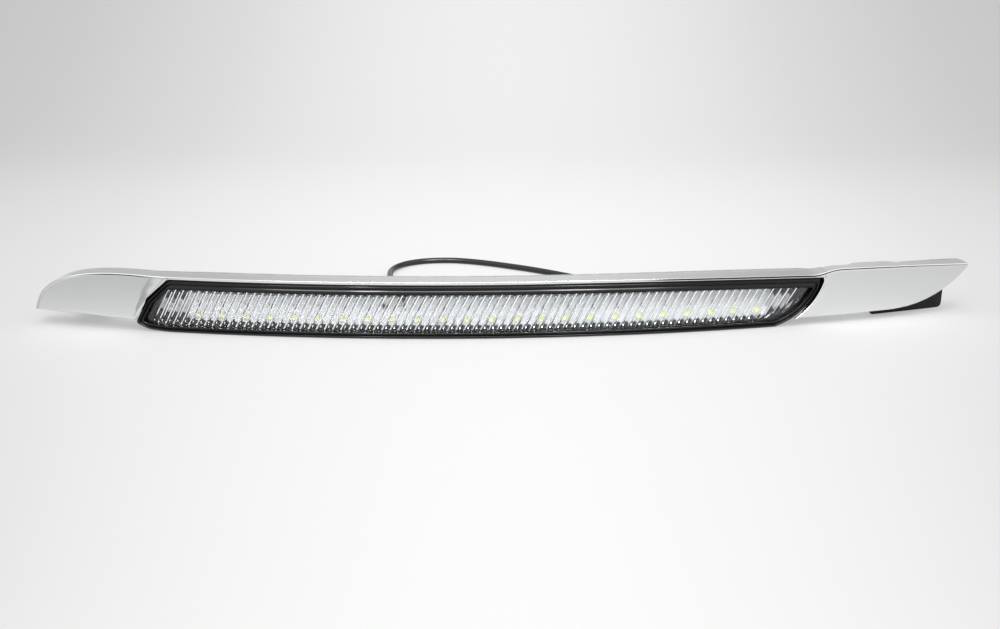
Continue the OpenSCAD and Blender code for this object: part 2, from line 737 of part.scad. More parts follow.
// Stored length: a neat coil two turns wide and two high
module cable_coil() {
    color([0.04, 0.04, 0.045])
        translate([coil_c[0], coil_c[1], 0.05])
            rotate_extrude($fn = 96)
                translate([coil_r - coil_w / 2, 0]) square([coil_w, coil_h]);
}

// Tie round the coil at its left side
tie_w = 3;
tie_t = 0.8;
module coil_tie() {
    color([0.08, 0.08, 0.085])
        translate([coil_c[0] - coil_r, coil_c[1], 0.05]) difference() {
            translate([-coil_w / 2 - tie_t - 0.3, -tie_w / 2, 0])
                cube([coil_w + 2 * tie_t + 0.6, tie_w, coil_h + tie_t + 0.15]);
            translate([-coil_w / 2 - 0.3, -tie_w, -1]) cube([coil_w + 0.6, 2 * tie_w, coil_h + 1.15]);
        }
}

// The tail leaves the coil and ends in a two-pin plug that lies on the floor
plug_l = 17;
plug_w = 10;
plug_thick = 7.8;
plug_z = plug_thick / 2 + 0.02;
tail_start = [coil_c[0], coil_c[1] - arrive_r, floor_z];
tail_points = [[0, 0, 0], [-4, 0, 0.1], [-8, 0.1, 0.7], [-12, 0.2, 1.7], [-16, 0.3, plug_z - floor_z]];
plug_at = [tail_start[0] - 18, tail_start[1] + 0.3, plug_z];
module cable_tail() {
    color([0.04, 0.04, 0.045])
        tube(concat([for (p = tail_points) tail_start + p], [plug_at]), cable_r);
}

module plug_boot() {
    color([0.06, 0.06, 0.065])
        translate(plug_at) rotate([0, -90, 0]) {
            translate([0, 0, 0.01]) cylinder(r1 = cable_r + 0.5, r2 = 3.2, h = 10 - 0.01);
            for (k = [0:2]) translate([0, 0, 2 + k * 2.6]) cylinder(r = 2.6 + k * 0.3, h = 1);
        }
}

module plug_body() {
    color([0.06, 0.06, 0.065])
        translate([plug_at[0] - 10, plug_at[1], plug_z]) mirror([1, 0, 0]) difference() {
            union() {
                translate([0, -plug_w / 2, -plug_thick / 2]) cube([plug_l, plug_w, plug_thick]);
                translate([2, -2, plug_thick / 2 - eps]) cube([9, 4, 1.4]);
            }
            translate([plug_l - 9, -plug_w / 2 + 1.4, -plug_thick / 2 + 1.4])
                cube([10, plug_w - 2.8, plug_thick - 2.8]);
        }
}

module plug_pins() {
    color([0.8, 0.7, 0.45])
        for (side = [-1, 1])
            translate([plug_at[0] - 10 - plug_l + 9, plug_at[1] + side * 1.9, plug_z])
                rotate([0, -90, 0]) cylinder(r = 0.6, h = 7, $fn = 24);
}

chrome_trim();
lens_frame();
lens();
lens_seal();
lamp_housing();
heat_strip();
light_board();
for (i = [0:LED_COUNT - 1]) led(i);
resistors();
reverse_diode();
solder_joints();
wire_red();
wire_black();
board_screws();
board_washers();
foam_tape();
lamp_screws();
left_bracket();
right_bracket();
bracket_screws();
cable_gland();
cable();
cable_coil();
cable_tail();
coil_tie();
plug_body();
plug_boot();
plug_pins();
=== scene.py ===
"""Daytime running light: a bowed lamp with a fluted lens in a bright plated trim, dressed for rendering.

Metres in the file's meshes, millimetres in its sizes. X runs along the light, -Y faces forward, +Z is up.
"""
import math

import bmesh
import bpy
import mathutils
import numpy as np
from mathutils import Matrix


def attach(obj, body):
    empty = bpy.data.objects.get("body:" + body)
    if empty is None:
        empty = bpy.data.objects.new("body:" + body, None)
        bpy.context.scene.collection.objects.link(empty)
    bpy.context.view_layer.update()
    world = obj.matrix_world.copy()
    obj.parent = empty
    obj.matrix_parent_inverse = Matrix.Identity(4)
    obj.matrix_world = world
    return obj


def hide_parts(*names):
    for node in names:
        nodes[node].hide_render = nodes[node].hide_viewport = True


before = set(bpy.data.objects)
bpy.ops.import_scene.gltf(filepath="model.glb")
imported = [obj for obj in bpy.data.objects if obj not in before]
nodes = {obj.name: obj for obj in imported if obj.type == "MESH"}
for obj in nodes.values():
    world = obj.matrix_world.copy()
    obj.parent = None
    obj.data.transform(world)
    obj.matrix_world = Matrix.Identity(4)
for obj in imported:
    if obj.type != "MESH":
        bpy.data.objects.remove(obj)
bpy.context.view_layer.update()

# Lamp housing
# The black tray behind the lens, moulded in a filled plastic with a satin skin.
# Its rim takes the lens's seal, its posts take the board's screws, and its ears are screwed to the trim.
MM = 0.001
BOW_R = 705.0
APEX_X = -35.0
BOW_CENTRE_Y = 695.0


def bowed(x, d, z):
    """A point at depth d behind the bow's front arc: y is the arc's height over its chord, in metres."""
    x, d, z = np.broadcast_arrays(np.asarray(x, float), d, z)
    y = BOW_CENTRE_Y - np.sqrt((BOW_R - d) ** 2 - (x - APEX_X) ** 2)
    return np.stack([x, y, z], -1) * MM


def plain_material(name, colour, roughness, metallic=0.0, coat=0.0):
    """A Principled surface with its plain numbers on its own sockets."""
    mat = bpy.data.materials.new(name)
    mat.use_nodes = True
    shader = mat.node_tree.nodes["Principled BSDF"]
    shader.inputs["Base Color"].default_value = (*colour, 1)
    shader.inputs["Roughness"].default_value = roughness
    shader.inputs["Metallic"].default_value = metallic
    shader.inputs["Coat Weight"].default_value = coat
    shader.inputs["Coat Roughness"].default_value = 0.05
    return mat


def object_noise(mat, size, detail=3.0):
    """Noise read at Object coordinates, size being its scale per metre."""
    tree = mat.node_tree
    place = tree.nodes.new("ShaderNodeTexCoord")
    noise = tree.nodes.new("ShaderNodeTexNoise")
    noise.inputs["Scale"].default_value = size
    noise.inputs["Detail"].default_value = detail
    tree.links.new(place.outputs["Object"], noise.inputs["Vector"])
    return noise.outputs["Fac"]


def spread(mat, height, socket, low, high):
    """Carries a noise to a socket of the shader, mapped to the range low to high."""
    tree = mat.node_tree
    ramp = tree.nodes.new("ShaderNodeMapRange")
    ramp.inputs["From Min"].default_value = 0.3
    ramp.inputs["From Max"].default_value = 0.7
    ramp.inputs["To Min"].default_value = low
    ramp.inputs["To Max"].default_value = high
    tree.links.new(height, ramp.inputs["Value"])
    tree.links.new(ramp.outputs["Result"], tree.nodes["Principled BSDF"].inputs[socket])


def grain(mat, height, strength, distance):
    """Bump from a noise, its distance in metres."""
    tree = mat.node_tree
    raised = tree.nodes.new("ShaderNodeBump")
    raised.inputs["Strength"].default_value = strength
    raised.inputs["Distance"].default_value = distance
    tree.links.new(height, raised.inputs["Height"])
    tree.links.new(raised.outputs["Normal"], tree.nodes["Principled BSDF"].inputs["Normal"])


def finish_node(name, mat):
    """Gives a carried-over node its material."""
    node = nodes[name]
    node.data.materials.clear()
    node.data.materials.append(mat)


housing_black = plain_material("moulded_black", (0.022, 0.022, 0.024), 0.45)
grain(housing_black, object_noise(housing_black, 2500), 0.3, 0.00003)
spread(housing_black, object_noise(housing_black, 180), "Roughness", 0.36, 0.52)
finish_node("lamp_housing", housing_black)

# Aluminium strip and circuit board
# A pressed aluminium strip is screwed to the housing's posts and carries the board as its heat sink.
# The board is one strip with a white solder mask, bent to the bow and stuck down.
strip_metal = plain_material("strip_metal", (0.62, 0.63, 0.64), 0.4, metallic=1.0)
spread(strip_metal, object_noise(strip_metal, 900), "Roughness", 0.32, 0.5)
finish_node("heat_strip", strip_metal)

board_white = plain_material("solder_mask", (0.93, 0.945, 0.95), 0.3, coat=0.25)
spread(board_white, object_noise(board_white, 700), "Roughness", 0.24, 0.38)
finish_node("light_board", board_white)

# Diodes
# Each light-emitting diode is a white moulded cup on the board, filled level with a yellow phosphor.
# They stand 10.6 mm apart, soldered at both ends.
LED_COUNT = 24
BOARD_D = 8.0
LED_MIDDLE_X = -14.4
LED_Z = 7.71
LED_PITCH = 10.6


def board_frames(turns, z):
    """Places on the board's front: each row is origin, along, inward and up, in metres."""
    a = np.asarray(turns, float)
    r = BOW_R - BOARD_D
    origin = np.stack([APEX_X + r * np.sin(a), BOW_CENTRE_Y - r * np.cos(a), np.full_like(a, z)], -1) * MM
    along = np.stack([np.cos(a), np.sin(a), 0 * a], -1)
    inward = np.stack([-np.sin(a), np.cos(a), 0 * a], -1)
    up = np.broadcast_to((0.0, 0.0, 1.0), along.shape)
    return origin, along, inward, up


def set_out(shape, frames):
    """Copies a shape's points, given along, inward and up in millimetres, to every frame."""
    origin, along, inward, up = frames
    s = np.asarray(shape, float) * MM
    return (origin[:, None] + s[None, :, :1] * along[:, None] + s[None, :, 1:2] * inward[:, None]
            + s[None, :, 2:] * up[:, None])


def grid_faces(rows, columns, wrap=False):
    """Quads between neighbouring rows of a grid of points, closed over the columns if wrapped."""
    r, c = np.meshgrid(np.arange(rows - 1), np.arange(columns if wrap else columns - 1), indexing="ij")
    near, far = r * columns, (r + 1) * columns
    n = (c + 1) % columns
    return np.stack([near + c, near + n, far + n, far + c], -1).reshape(-1, 4)


def mesh_piece(name, verts, faces, mat, slot, shade=None):
    """One object at the origin from arrays of points and faces, riding on the only body."""
    mesh = bpy.data.meshes.new(name)
    places = np.asarray(verts, float).reshape(-1, 3).tolist()
    mesh.from_pydata(places, [], [list(map(int, f)) for f in faces])
    mesh.update()
    mesh.polygons.foreach_set("use_smooth", [True] * len(mesh.polygons))
    for m in mat if isinstance(mat, (list, tuple)) else [mat]:
        mesh.materials.append(m)
    if shade is not None:
        mesh.polygons.foreach_set("material_index", np.asarray(shade, int).tolist())
    obj = bpy.data.objects.new(name, mesh)
    bpy.context.scene.collection.objects.link(obj)
    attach(obj, "root")
    return obj


def repeated(faces, count, points):
    """Faces of a shape's copies, each copy's points following the last one's."""
    return [[int(v) + k * points for v in f] for k in range(count) for f in faces]


CUP_SIDES = 32
CUP_RINGS = [(1.75, 1.4, 0.0, 12), (1.75, 1.4, -0.62, 12), (1.7, 1.37, -0.78, 12), (1.64, 1.34, -0.8, 3.2),
             (1.6, 1.31, -0.78, 3.0), (1.57, 1.28, -0.74, 2.8)]


def cup_shape():
    """Square-to-round loft: superellipse rings, from the board up the walls, over the rim and into the cup.

    A ring is given by its half width, half height, height over the board and power.
    The last face is the phosphor.
    """
    a = np.arange(CUP_SIDES) * 2 * np.pi / CUP_SIDES + np.pi / CUP_SIDES
    c, s = np.cos(a), np.sin(a)
    wide, high, out, power = (np.array(column)[:, None] for column in zip(*CUP_RINGS))
    k = (np.abs(c) ** power + np.abs(s) ** power) ** (-1 / power)
    points = np.stack(np.broadcast_arrays(wide * k * c, out, high * k * s), -1).reshape(-1, 3)
    faces = [list(f) for f in grid_faces(len(CUP_RINGS), CUP_SIDES, True)]
    faces.append(list(range(CUP_SIDES - 1, -1, -1)))
    faces.append(list(range(len(points) - CUP_SIDES, len(points))))
    shade = [0] * (len(faces) - 1) + [1]
    return points, faces, shade


led_step = LED_PITCH / (BOW_R - BOARD_D)
led_middle = math.asin((LED_MIDDLE_X - APEX_X) / (BOW_R - BOARD_D))
led_turns = led_middle + (np.arange(LED_COUNT) - (LED_COUNT - 1) / 2) * led_step
cup_white = plain_material("diode_cup", (0.86, 0.87, 0.82), 0.35)
phosphor = plain_material("phosphor", (0.92, 0.96, 0.48), 0.5, coat=0.5)
spread(cup_white, object_noise(cup_white, 1500), "Roughness", 0.3, 0.42)
spread(phosphor, object_noise(phosphor, 4000), "Roughness", 0.4, 0.6)
cup_points, cup_faces, cup_shade = cup_shape()
diodes = mesh_piece("diodes", set_out(cup_points, board_frames(led_turns, LED_Z)),
                    repeated(cup_faces, LED_COUNT, len(cup_points)), [cup_white, phosphor], "diode_white",
                    shade=cup_shade * LED_COUNT)
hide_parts(*[f"led_{k:02d}" for k in range(1, LED_COUNT + 1)])

for name, colour, slot in (("resistors", (0.09, 0.075, 0.065), "chip_brown"),
                           ("reverse_diode", (0.02, 0.02, 0.02), "chip_black")):
    chip = plain_material(name + "_body", colour, 0.4)
    spread(chip, object_noise(chip, 2500), "Roughness", 0.3, 0.5)
    finish_node(name, chip)

# Leads, solder, screws and washers
# Two insulated leads come through the gland and are soldered to the board.
# Zinc-plated pan-head screws with washers hold the strip; the same screws hold the ears and brackets.
for name, colour in (("wire_red", (0.42, 0.02, 0.02)), ("wire_black", (0.015, 0.015, 0.016))):
    sleeve = plain_material(name + "_sleeve", colour, 0.35, coat=0.3)
    spread(sleeve, object_noise(sleeve, 1200), "Roughness", 0.28, 0.42)
    finish_node(name, sleeve)
bright_tin = plain_material("bright_tin", (0.7, 0.71, 0.72), 0.25, metallic=1.0)
spread(bright_tin, object_noise(bright_tin, 3000), "Roughness", 0.15, 0.35)
finish_node("solder_joints", bright_tin)
zinc = plain_material("zinc_plate", (0.62, 0.63, 0.65), 0.3, metallic=1.0)
spread(zinc, object_noise(zinc, 2200), "Roughness", 0.2, 0.38)
for name in ("board_screws", "board_washers", "lamp_screws", "bracket_screws"):
    finish_node(name, zinc)

# Lens
# One clear moulding, 2.5 mm thick, that closes the housing from the front against its rubber seal.
# It is smooth outside and carries a row of slanted round flutes inside, 3.5 mm apart.
LAMP_LEFT = [(0.0, -158.4), (1.6, -158.5), (2.2, -161.1), (3.6, -162.6), (5.8, -162.1), (9.6, -159.4),
             (13.0, -157.3), (15.2, -156.5), (18.4, -152.8), (21.6, -149.1), (24.45, -145.8)]
LAMP_H, FALL_X, FALL_R = 24.1, 20.0, 2600.0
END_X, END_Z, END_R = 108.4, 28.1, 29.0
LENS_D, LENS_T, LENS_FROM, LENS_TO = 3.0, 2.5, -168.0, 140.0
LENS_LOW_GAP, LENS_SIDE_GAP = 1.4, 1.35
FLUTE_PITCH, FLUTE_H, FLUTE_LAND = 3.5, 0.9, 0.3
FLUTE_LEAN, LEAN_MORE = math.radians(28), math.radians(10)
LEAN_FROM, LEAN_OVER = 95.4, 42.0
FLUTE_LOW, FLUTE_MIDDLE, FLUTE_TOP_GAP = 2.7, 10.65, 5.3
ROUND_END_GAP, SLANT_END_GAP, SLANT_SHARE = 2.7, 2.6, 0.75
FLUTE_FLAT, FLUTE_POWER = 0.42, 1.25


def lamp_top(x):
    """Top edge of the lamp: level to the left, then an arc of 2.6 m that falls away to the right."""
    return LAMP_H - np.clip(np.asarray(x, float) - FALL_X, 0, None) ** 2 / (2 * FALL_R)


def lamp_ends(z):
    """Left and right limits of the lamp at a height: a drawn line on the left, the end's arc on the right."""
    left = np.interp(z, [p[0] for p in LAMP_LEFT], [p[1] for p in LAMP_LEFT])
    right = END_X + np.sqrt(np.clip(END_R**2 - (END_Z - np.asarray(z, float)) ** 2, 0, None))
    return left, right


def flute_lean(x):
    """Slope of a flute: the tangent of 28 degrees, and of up to 38 where it nears the round end."""
    return np.tan(FLUTE_LEAN + LEAN_MORE * np.clip((x - LEAN_FROM) / LEAN_OVER, 0, None) ** 2)


def lens_surface():
    """Plain front and fluted back, in columns that lean with the flutes and are clipped to the lamp's ends.

    A flute is flat in its middle and rounds off towards both sides, as a power of 1.25 of the way out.
    Its plan is a stadium: past its straight part it closes as a half circle. It keeps off the lamp's ends.
    """
    columns = np.array([-0.5, -0.457, -0.43, -0.39, -0.35, -0.3, -0.25, -0.18, -0.06,
                        0.06, 0.18, 0.25, 0.3, 0.35, 0.39, 0.43, 0.457])
    rows = np.concatenate([[0], np.linspace(0.055, 0.2, 11), np.linspace(0.25, 0.62, 7),
                           np.linspace(0.66, 0.81, 12), [1]])
    flutes = np.arange(LENS_FROM, LENS_TO, FLUTE_PITCH)
    middle = np.repeat(flutes, len(columns))
    part = np.tile(columns, len(flutes))[None] * FLUTE_PITCH
    z = LENS_LOW_GAP + rows[:, None] * (lamp_top(middle) - 2 * LENS_LOW_GAP)[None]
    slope = flute_lean(middle)[None]
    x = middle[None] + part + (z - FLUTE_MIDDLE) * slope
    left, right = lamp_ends(z)
    cos = 1 / np.hypot(1, slope)
    along = (z - FLUTE_MIDDLE) / cos + part * slope * cos
    half = (FLUTE_PITCH * cos - FLUTE_LAND) / 2
    top = (lamp_top(middle)[None] - FLUTE_TOP_GAP - FLUTE_MIDDLE) / cos - half
    low = (FLUTE_LOW - FLUTE_MIDDLE) / cos + half
    past = np.maximum(np.maximum(along - top, low - along), 0)
    round_room = END_R - np.hypot(x - END_X, z - END_Z) - ROUND_END_GAP
    round_room = np.where((x > END_X) & (z < END_Z), round_room, np.inf)
    slant_room = (x - left) * SLANT_SHARE - SLANT_END_GAP
    past = np.maximum(past, 2 * half - np.minimum(round_room, slant_room))
    r = np.clip(np.hypot(part * cos, past) / half, 0, 1)
    lift = FLUTE_H * (1 - np.clip((r - FLUTE_FLAT) / (1 - FLUTE_FLAT), 0, 1) ** FLUTE_POWER)
    x = np.clip(x, left + LENS_SIDE_GAP, right - LENS_SIDE_GAP)
    return bowed(x, LENS_D, z), bowed(x, LENS_D + LENS_T + lift, z)


def closed_plate(front, back):
    """Points and faces of a plate between two grids, with walls along the four edges."""
    rows, columns = front.shape[:2]
    n = rows * columns
    f = grid_faces(rows, columns)
    faces = [list(q) for q in f] + [list(q[::-1] + n) for q in f]
    low_edge = np.arange(columns)
    right_edge = np.arange(1, rows) * columns + columns - 1
    top_edge = (rows - 1) * columns + np.arange(columns - 2, -1, -1)
    left_edge = np.arange(rows - 2, 0, -1) * columns
    ring = np.concatenate([low_edge, right_edge, top_edge, left_edge])
    after = np.roll(ring, -1)
    faces += np.stack([after, ring, ring + n, after + n], -1).tolist()
    return np.concatenate([front.reshape(-1, 3), back.reshape(-1, 3)]), faces


def clear_material(name, tint, ior):
    """Refracting plastic that lets light through as if clear in shadow rays, so the board stays lit."""
    mat = plain_material(name, tint, 0.0)
    tree = mat.node_tree
    shader = tree.nodes["Principled BSDF"]
    shader.inputs["Transmission Weight"].default_value = 1.0
    shader.inputs["IOR"].default_value = ior
    rays = tree.nodes.new("ShaderNodeLightPath")
    through = tree.nodes.new("ShaderNodeBsdfTransparent")
    through.inputs["Color"].default_value = (0.9, 0.92, 0.94, 1)
    either = tree.nodes.new("ShaderNodeMixShader")
    tree.links.new(rays.outputs["Is Shadow Ray"], either.inputs["Fac"])
    tree.links.new(shader.outputs["BSDF"], either.inputs[1])
    tree.links.new(through.outputs["BSDF"], either.inputs[2])
    tree.links.new(either.outputs["Shader"], tree.nodes["Material Output"].inputs["Surface"])
    return mat


lens_clear = clear_material("lens_clear", (0.97, 0.985, 1.0), 1.49)
spread(lens_clear, object_noise(lens_clear, 60), "Roughness", 0.0, 0.012)
lens = mesh_piece("fluted_lens", *closed_plate(*lens_surface()), lens_clear, "clear_lens")
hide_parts("lens")

# Seal, lens frame and foam tape
# A soft rubber ring seals the lens.
# The frame is gloss black, with two stepped beads and a skirt round the lens.
# Open-cell foam tape fills the gap between the housing's top and the trim.
rubber = plain_material("seal_rubber", (0.03, 0.03, 0.03), 0.7)
spread(rubber, object_noise(rubber, 900), "Roughness", 0.6, 0.8)
finish_node("lens_seal", rubber)
gloss_black = plain_material("gloss_black", (0.004, 0.004, 0.005), 0.06)
gloss_black.node_tree.nodes["Principled BSDF"].inputs["Specular IOR Level"].default_value = 0.3
spread(gloss_black, object_noise(gloss_black, 90), "Roughness", 0.06, 0.12)
FRAME_CORNERS = [(-163.2, 3.4, 2.0), (-157.4, 0.8, 2.2), (-148.4, 0.0, 3.0), (115.6, 0.0, 0.6),
                 (119.0, 1.13, 0.5), (122.7, 2.87, 0.6), (126.0, 5.1, 0.6), (129.2, 8.05, 0.8),
                 (132.2, 11.8, 0.8), (134.6, 15.87, 0.8), (136.6, 21.5, 3.8), (110.0, 22.54, 2.0),
                 (85.0, 23.29, 2.0), (60.0, 23.79, 2.0), (25.0, 24.09, 2.0), (-146.0, 24.1, 2.6),
                 (-156.1, 14.94, 0.4), (-157.2, 13.8, 0.4)]
FRAME_TOP_EDGES = range(10, 15)
FRAME_BACK, SKIRT_SHARE, SKIRT_D = 6.0, 0.42, 3.0
WINDOW_SIDE, WINDOW_TOP = 2.8, 4.7
CORNER_POINTS, CORNER_SHRINK, LONGEST_EDGE = 7, 0.55, 7.0
FRAME_STEPS = [(0, FRAME_BACK), (0, SKIRT_D), (0, 2.1), (0.012, 1.9), (0.04, 1.76), (0.1, 1.6), (0.16, 1.42),
               (0.21, 1.26), (0.26, 1.12), (0.3, 1.04), (0.35, 1.0), (0.4, 1.01), (0.44, 1.08), (0.475, 1.25),
               (0.505, 1.5), (0.53, 1.68), (0.55, 1.72), (0.58, 1.6), (0.63, 1.42), (0.69, 1.26),
               (0.75, 1.12), (0.8, 1.02), (0.84, 0.97), (0.9, 0.96), (0.95, 1.0), (0.985, 1.12), (1, 1.35),
               (1, SKIRT_D), (SKIRT_SHARE, SKIRT_D), (SKIRT_SHARE, FRAME_BACK)]


def frame_loop(share):
    """Closed outline at a share of the way from the lamp's edge to the window's, each edge moved squarely in.

    Each corner is a quadratic curve between two points cut off its edges; long edges are split for the bow.
    """
    p = np.array(FRAME_CORNERS)[:, :2]
    cut = np.array(FRAME_CORNERS)[:, 2] * (1 - CORNER_SHRINK * share)
    ahead = np.roll(p, -1, 0) - p
    ahead /= np.linalg.norm(ahead, axis=1)[:, None]
    normal = np.stack([-ahead[:, 1], ahead[:, 0]], 1)
    move = np.full(len(p), WINDOW_SIDE * share)
    move[list(FRAME_TOP_EDGES)] = WINDOW_TOP * share
    before, before_move = np.roll(normal, 1, 0), np.roll(move, 1)
    pair, moves = np.stack([before, normal], 1), np.stack([before_move, move], 1)
    q = p + np.linalg.solve(pair, moves[:, :, None])[:, :, 0]
    back = np.roll(q, 1, 0) - q
    back /= np.linalg.norm(back, axis=1)[:, None]
    start, end = q + back * cut[:, None], q + ahead * cut[:, None]
    t = np.linspace(0, 1, CORNER_POINTS)[:, None, None]
    curve = ((1 - t) ** 2 * start + 2 * t * (1 - t) * q + t * t * end).swapaxes(0, 1)
    out = []
    for k, size in enumerate(np.linalg.norm(np.roll(p, -1, 0) - p, axis=1)):
        split = np.linspace(0, 1, max(2, int(size / LONGEST_EDGE)) + 1)[1:-1, None]
        out += [curve[k], end[k] + split * (np.roll(start, -1, 0)[k] - end[k])]
    return np.concatenate(out)


def frame_ring():
    """Points and faces of the frame: the outline carried along the steps of its section, closed both ways."""
    loops = np.array([frame_loop(share) for share, _ in FRAME_STEPS])
    depth = np.array([d for _, d in FRAME_STEPS])[:, None]
    rings, n = loops.shape[:2]
    points = bowed(loops[:, :, 0], depth, loops[:, :, 1])
    i, k = np.meshgrid(np.arange(rings), np.arange(n), indexing="ij")
    j, m = (i + 1) % rings, (k + 1) % n
    faces = np.stack([i * n + k, i * n + m, j * n + m, j * n + k], -1).reshape(-1, 4)
    return points.reshape(-1, 3), faces.tolist()


lens_frame = mesh_piece("stepped_frame", *frame_ring(), gloss_black, "gloss_black")
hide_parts("lens_frame")
foam = plain_material("foam", (0.05, 0.05, 0.052), 0.95)
grain(foam, object_noise(foam, 1500), 0.6, 0.0002)
finish_node("foam_tape", foam)

# Bright trim
# One moulding plated with bright chromium: a thin shelf over the lamp and a wing at each end. Its skin is
# 1.8 mm thick, and 1.3 mm on top. Each wing's face is set back under a rounded nose, and bosses behind take
# the screws of the ears and brackets.
TIP_X, TIP_ROUND, TIP_RUN = -209.1, 6.0, 34.9
LEAF_LOW, NOSE_Z = 7.05, 25.9
FIT_GAP, LIP, SHELF_DEPTH, SKIN, TOP_SKIN = 0.2, 1.1, 9.5, 1.8, 1.3
FACE_D, LEAN_BACK, FACE_LOW, FACE_HIGH = 0.6, 2.4, 4.0, 22.9
UNDER_LINE = [(TIP_X, 7.0), (-207.9, 6.65), (-184.9, 6.15), (-172.8, 5.45), (-160.6, 5.05)]
FOOT_LINE = [(-163.1, 5.8), (-162.5, 9.3), (-160.8, 12.8), (-159.4, 17.6), (-157.2, 21.6), (-155.1, 24.8)]
CREST_LINE = [(-162.9, 5.7), (-160.2, 11.2), (-155.0, 17.0), (-151.0, 21.0), (-147.8, 24.4)]
CREST_D, HOLLOW_POWER = 0.12, 1.25
SWEEP_X, SWEEP_Z, SWEEP_R, CORNER_X = 171.0, 53.9, 50.0, 207.9
BLADE_LOW, BLADE_RISE, BLADE_BAND = 3.4, 0.5, 0.92
LAMP_CORNER_X, LAMP_CORNER_Z, LAMP_CORNER_R = 133.7, 20.1, 2.8
BEAD_R, EDGE_R = 0.42, 0.5
FRONT_D, FACET_LEAN = 0.05, math.radians(11)
LEDGE_D, LEDGE_Z, FACET_Z = 0.09, np.array([0.01, 0.02]), 0.05
FACET_ROWS = np.array([0, 0.1, 0.9])[:, None]
NOSE_ANGLES = np.radians([169, 150, 130, 112, 98, 91.0])[:, None]
BACK_ROWS = np.array([0.12, 0.35, 0.65, 0.97, 1.0])[:, None]
REAR_EDGE = np.array([0, 0, 0, 0, 0.3])[:, None]
BAND_ROWS = len(LEDGE_Z) + len(FACET_ROWS) + len(NOSE_ANGLES)


def smooth_step(x, start, end):
    """Cubic step from 0 at start to 1 at end."""
    s = np.clip((np.asarray(x, float) - start) / (end - start), 0, 1)
    return s * s * (3 - 2 * s)


def line_x(points, z):
    """Place along the light of a line drawn through points, at a height."""
    return np.interp(z, [p[1] for p in points], [p[0] for p in points])


def line_z(points, x):
    """Height of a line drawn through points, at a place along the light."""
    return np.interp(x, [p[0] for p in points], [p[1] for p in points])


def half_chord(radius, off):
    """Half the chord of a circle at a distance off its middle, and none outside it."""
    return np.sqrt(np.clip(radius**2 - off**2, 0, None))


def right_top(x):
    """Top edge of the trim to the right: the shelf's, then up to a shallow arc that falls to the corner."""
    blade = NOSE_Z - 0.5 - (np.asarray(x, float) - 122.0) ** 2 / 2200
    shelf = lamp_top(x) + FIT_GAP + LIP
    return shelf + (blade - shelf) * smooth_step(x, 130, 144)


def right_crease(x):
    """Lower edge of the band on the right wing: 0.9 mm under its falling top edge."""
    return right_top(x) - BLADE_BAND


def leaf_depth(z):
    """Depth of the left wing's face, which leans back by 6 degrees."""
    return FACE_D + LEAN_BACK * (z - FACE_LOW) / FACE_HIGH


def leaf_columns():
    """Columns of the left wing and shelf: place, top edge and bottom edge.

    The tip is a quadratic curve through a far corner; then the bottom edge follows the lamp's slanted end.
    """
    t = np.linspace(0, 1, 40)
    tip = TIP_X + TIP_ROUND * t + TIP_RUN * t * t
    tip_top = NOSE_Z - (NOSE_Z - LEAF_LOW) * (1 - t) ** 2
    slant_z = np.linspace(UNDER_LINE[-1][1], 24.2, 40)
    slant = lamp_ends(slant_z)[0] - FIT_GAP
    before = np.linspace(tip[-1] + 0.5, slant[0] - 0.3, 8)
    level = np.concatenate([np.linspace(-145.2, 124, 56), np.linspace(125, 137, 14)])
    x = np.concatenate([tip, before, slant, level])
    lip = lamp_top(x) + FIT_GAP
    top = np.concatenate([tip_top, np.full(len(x) - len(tip), NOSE_Z)])
    top = top + (lip + LIP - NOSE_Z) * smooth_step(x, -166, -148)
    top = np.where(x > 100, right_top(x), top)
    under = line_z(UNDER_LINE, np.concatenate([tip, before]))
    low = np.concatenate([under, slant_z, lip[-len(level):]])
    return x, top, np.minimum(low, lip)


def leaf_face(x, z):
    """Depth of the face: the leaning panel, then a hollow wall coming forward from the foot to the crest."""
    foot, crest = line_x(FOOT_LINE, z), line_x(CREST_LINE, z)
    s = np.clip((x - foot) / (crest - foot), 0, 1)
    return leaf_depth(z) + (CREST_D - leaf_depth(z)) * s ** HOLLOW_POWER


def nose_rows(face, crease, top, rear_depth, drop, flat):
    """Rows over the band: the ledge out from the crease, a facet that leans back, round the nose, then back
    over the top to the rear edge. flat is the facet's share of the band's height."""
    facet = flat * (top - crease)
    r = top - crease - facet - FACET_Z
    facet_end = FRONT_D + facet * math.tan(FACET_LEAN)
    nose_d = facet_end + r * (np.cos(NOSE_ANGLES) - np.cos(NOSE_ANGLES[0]))
    nose_z = top - r + r * np.sin(NOSE_ANGLES)
    ledge_d = np.stack([face - 0.5 * (face - FRONT_D), np.full_like(face, LEDGE_D)]).clip(FRONT_D, None)
    ledge_z = crease + LEDGE_Z[:, None]
    facet_d = FRONT_D + FACET_ROWS * (nose_d[0] - FRONT_D)
    facet_z = crease + FACET_Z + FACET_ROWS * (nose_z[0] - crease - FACET_Z)
    top_d = nose_d[-1] + BACK_ROWS * (rear_depth - nose_d[-1])
    top_z = top - drop * BACK_ROWS - REAR_EDGE
    rows_d = np.concatenate([ledge_d, facet_d, nose_d, top_d])
    rows_z = np.concatenate([ledge_z, facet_z, nose_z, top_z])
    return rows_d, rows_z


